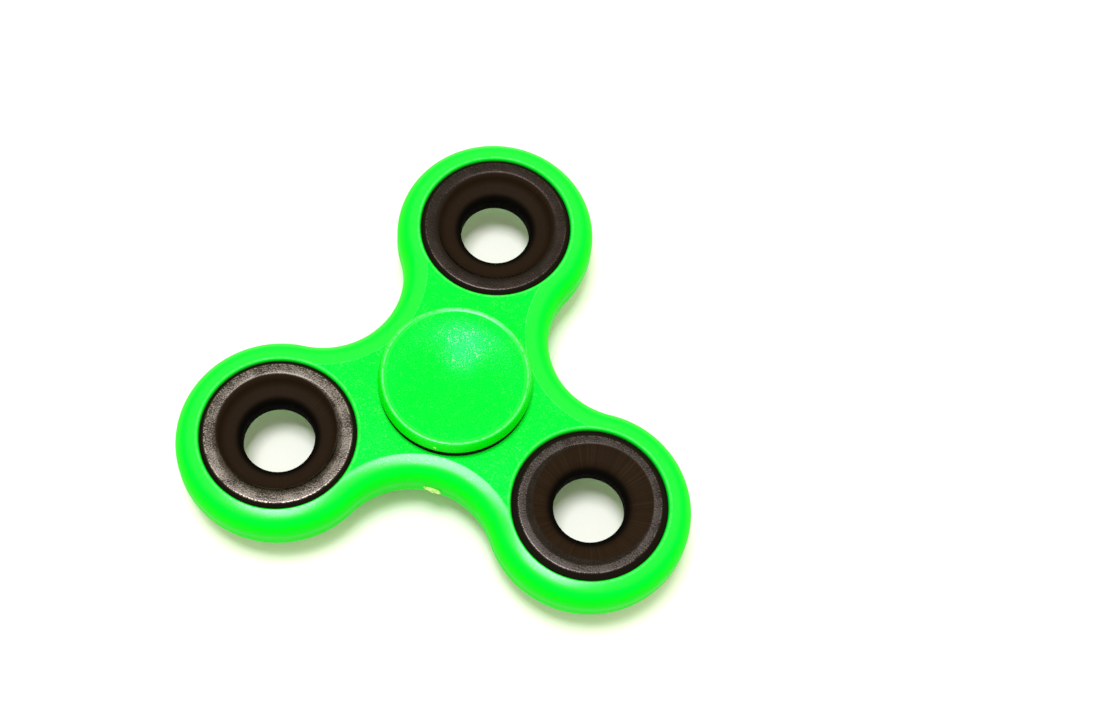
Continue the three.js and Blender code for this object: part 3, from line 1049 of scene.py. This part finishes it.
moulding = green_moulding()
tumbled = tumbled_steel()
blackened = blackened_ring(tumbled)
body_green = green_body(moulding)
cap_green = green_cap(moulding)
torn = torn_plastic()
race_steel = bright_steel("ground_race_steel", tumbled, RACE_TONES, 0.25, 0.4, RACE_GAP_SHADE_RADIUS)
ball_steel = bright_steel("polished_ball_steel", tumbled, BALL_TONES, 0.07, 0.1)
cage_steel = bright_steel("pressed_cage_steel", tumbled, CAGE_TONES, 0.36, 0.8)
shield_steel = bright_steel("pressed_shield_steel", tumbled, SHIELD_TONES, 0.34, 0.8)

fit(mould_body(), "rotor", "green_plastic", body_green, "body_frame")
body_scar_place = (0.3 * MM, -14.75 * MM, BODY_MIDDLE)
body_scar = torn_stub("body_gate_scar", body_scar_place, (2.2 * MM, 0.6 * MM, 0.9 * MM), 0.25, 4)
fit(body_scar, "rotor", "green_plastic", torn)
cap_scar_place = (-0.4 * MM, -10.72 * MM, CAP_TOP - 1.1 * MM)
cap_scar = torn_stub("cap_gate_scar", cap_scar_place, (0.4 * MM, 0.3 * MM, 0.2 * MM), 0, 7)
fit(cap_scar, "hub", "cap_plastic", torn)
for k, ring in enumerate(weight_rings()):
    dished_up = k == 2
    steel = dark_ring_steel(
        f"dark_plated_ring_{k + 1}",
        blackened,
        RING_PLACES[k],
        RIM_LIGHT_SHIFTS[k],
        RING_WEAR_AND_SHEEN[k],
        DISHED_RIM if dished_up else STEPPED_RIM,
        float(dished_up),
    )
    fit(ring, "rotor", "dark_ring_steel", steel, f"weight_ring_{k + 1}")
fit(outer_race(), "rotor", "bearing_steel", race_steel, "bearing_outer_race")
fit(inner_race(), "hub", "bearing_steel", race_steel, "bearing_inner_race")
fit(shield("upper_shield_pressed", True), "rotor", "shield_steel", shield_steel, "shield_upper")
fit(shield("lower_shield_pressed", False), "rotor", "shield_steel", shield_steel, "shield_lower")
fit(cage_half("upper_cage_pressed", True), "cage", "cage_steel", cage_steel, "cage_upper")
fit(cage_half("lower_cage_pressed", False), "cage", "cage_steel", cage_steel, "cage_lower")
for k, (ball, rivet) in enumerate(zip(balls(), rivets()), 1):
    fit(ball, f"ball_{k}", "ball_steel", ball_steel, f"bearing_ball_{k}")
    fit(rivet, "cage", "cage_steel", cage_steel, f"cage_rivet_{k}")
fit(top_cap(), "hub", "cap_plastic", cap_green, "top_cap")
fit(bottom_cap(), "hub", "cap_plastic", cap_green, "bottom_cap")

# ---- Floor, light and camera ----


def pale_floor():
    deselect_all()
    just_below = (0, 0, -0.02 * MM)  # so that the floor and the cap's flat face share no plane
    bpy.ops.mesh.primitive_plane_add(size=4, location=just_below)
    floor = bpy.context.object
    floor.name = "floor"
    material, tree, shader = new_material("pale_floor")
    vector = add(tree, "ShaderNodeTexCoord").outputs["Object"]
    tone = noise(tree, vector, 9.0, 3.0)
    colour = blend_colours(tree, tone, *FLOOR_TONES)
    tree.links.new(colour, shader.inputs["Base Color"])
    shader.inputs["Roughness"].default_value = 0.8
    shader.inputs["Specular IOR Level"].default_value = 0.1
    floor.data.materials.append(material)


def aim(light, target=(0, 0, 0)):
    direction = Vector(target) - light.location
    light.rotation_euler = direction.to_track_quat("-Z", "Y").to_euler()


def soft_box(name, place, size, power):
    deselect_all()
    bpy.ops.object.light_add(type="AREA", location=place)
    light = bpy.context.object
    light.name = name
    light.data.shape = "SQUARE"
    light.data.size = size
    light.data.energy = power
    aim(light)


def studio_light():
    soft_box("overhead_softbox", (-0.087, 0.02, 1.0), 0.3, 8.0)
    world = bpy.data.worlds.new("studio")
    bpy.context.scene.world = world
    world.use_nodes = True
    tree = world.node_tree
    direction = add(tree, "ShaderNodeTexCoord").outputs["Generated"]
    parts = add(tree, "ShaderNodeSeparateXYZ", {0: direction})
    from_sky = ramp_between(tree, parts.outputs[2], -0.1, 0.9, 0.6, 1.15)
    from_back = ramp_between(tree, parts.outputs[1], -0.7, 0.7, 0.75, 1.1)
    fill = maths(tree, "MULTIPLY", from_sky, from_back)
    seen = add(tree, "ShaderNodeLightPath").outputs["Is Camera Ray"]
    colour = blend_colours(tree, seen, WARM_SKY, WHITE)
    tree.links.new(colour, tree.nodes["Background"].inputs["Color"])
    strength = add(tree, "ShaderNodeMix", {0: seen, 2: fill, 3: 0.95}, data_type="FLOAT").outputs[0]
    tree.links.new(strength, tree.nodes["Background"].inputs["Strength"])


def camera_view():
    """A near-overhead view from the front, rolled a little about the line of sight."""
    turn, rise, roll = math.radians(3.93), math.radians(67.40), math.radians(9.07)
    distance, target = 0.2776, Vector((0.01231, 0.00685, BODY_TOP))
    level = math.cos(rise)
    back = Vector((math.sin(turn) * level, -math.cos(turn) * level, math.sin(rise)))
    right = Vector((math.cos(turn), math.sin(turn), 0))
    above = back.cross(right)
    across = math.cos(roll) * right + math.sin(roll) * above
    upward = math.cos(roll) * above - math.sin(roll) * right
    deselect_all()
    bpy.ops.object.camera_add(location=(0, 0, 0))
    camera = bpy.context.object
    turned_to = Matrix((across, upward, back)).transposed().to_4x4()
    camera.matrix_world = Matrix.Translation(target + back * distance) @ turned_to
    camera.data.sensor_width = 36
    camera.data.lens = 63.517
    camera.data.clip_start = 0.005
    bpy.context.scene.camera = camera


pale_floor()
studio_light()
camera_view()
bpy.context.scene.view_settings.view_transform = "Standard"
